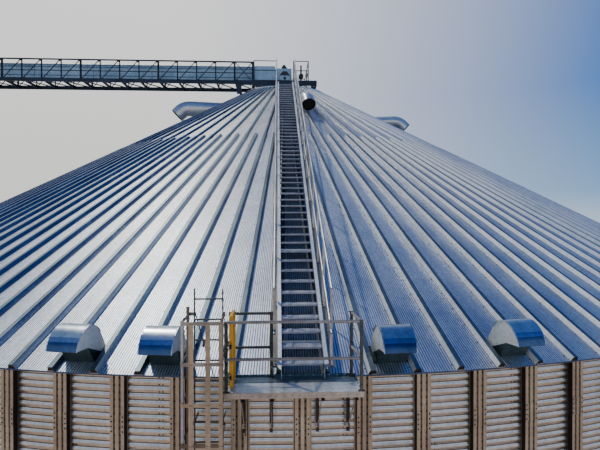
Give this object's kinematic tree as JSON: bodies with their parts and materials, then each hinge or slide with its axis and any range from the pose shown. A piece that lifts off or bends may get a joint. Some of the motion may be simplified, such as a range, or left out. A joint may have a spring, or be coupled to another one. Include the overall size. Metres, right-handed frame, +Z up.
{
  "type": "grain silo",
  "caption": "Round corrugated steel grain silo with ribbed cone roof, eave vents, exhaust ducts, roof stair, eave platform with gate, caged ladder and top conveyor bridge.",
  "frame": {"origin": "at ground level under the middle of the whole outline, 329 mm from the wall's own axis towards the stair", "axes": "+Z up; -Y is the side with the roof stair, the eave platform and the ladder; the conveyor bridge runs off towards -X"},
  "size_m": [37.3628, 38.0214, 28.7403],
  "materials": {
    "wall_sheet": "galvanised corrugated sheet, weathered, warm dust in the lower facets",
    "roof_sheet": "galvanised fluted roof sheet",
    "access_steel": "hot-dip galvanised steel",
    "ladder_steel": "dulled galvanised steel",
    "gate_paint": "safety yellow paint, worn",
    "bridge_steel": "galvanised steel seen against the light",
    "conveyor_sheet": "galvanised casing sheet",
    "drive_paint": "dark machine paint"
  },
  "bodies": {
    "silo": {"wall_1": "wall_sheet", "wall_2": "wall_sheet", "wall_3": "wall_sheet", "wall_4": "wall_sheet", "wall_5": "wall_sheet", "wall_6": "wall_sheet", "wall_7": "wall_sheet", "wall_8": "wall_sheet", "roof_lower_1": "roof_sheet", "roof_lower_2": "roof_sheet", "roof_lower_3": "roof_sheet", "roof_lower_4": "roof_sheet", "roof_upper_1": "roof_sheet", "roof_upper_2": "roof_sheet", "roof_upper_3": "roof_sheet", "roof_upper_4": "roof_sheet", "eave_vent_1": "roof_sheet", "eave_vent_2": "roof_sheet", "eave_vent_3": "roof_sheet", "eave_vent_4": "roof_sheet", "exhaust_duct_1": "roof_sheet", "exhaust_duct_2": "roof_sheet", "exhaust_duct_3": "roof_sheet", "exhaust_duct_4": "roof_sheet", "peak_ring": "roof_sheet", "peak_cap": "roof_sheet", "stair_flight_1": "access_steel", "stair_flight_2": "access_steel", "stair_flight_3": "access_steel", "stair_rail_left": "access_steel", "stair_rail_right": "access_steel", "platform_frame": "access_steel", "platform_deck": "access_steel", "platform_rail": "access_steel", "platform_rear_rail": "access_steel", "cage_front": "access_steel", "cage_left": "access_steel", "cage_right": "access_steel", "ladder": "ladder_steel", "peak_frame": "bridge_steel", "peak_deck": "bridge_steel", "peak_rail_left": "bridge_steel", "peak_rail_right": "bridge_steel", "bridge_front_truss": "bridge_steel", "bridge_back_truss": "bridge_steel", "bridge_underframe": "bridge_steel", "conveyor_casing": "conveyor_sheet", "conveyor_head": "conveyor_sheet", "deck_post": "drive_paint", "drive_gearbox": "drive_paint", "drive_motor": "drive_paint"},
    "gate": {"gate_leaf": "gate_paint"}
  },
  "joints": [
    {"name": "gate_swing", "type": "hinge", "parent": "silo", "child": "gate", "pos_m": [-1.03, -18.716, 17.915], "axis": [0, 0, -1], "range_deg": [0, 90]}
  ]
}
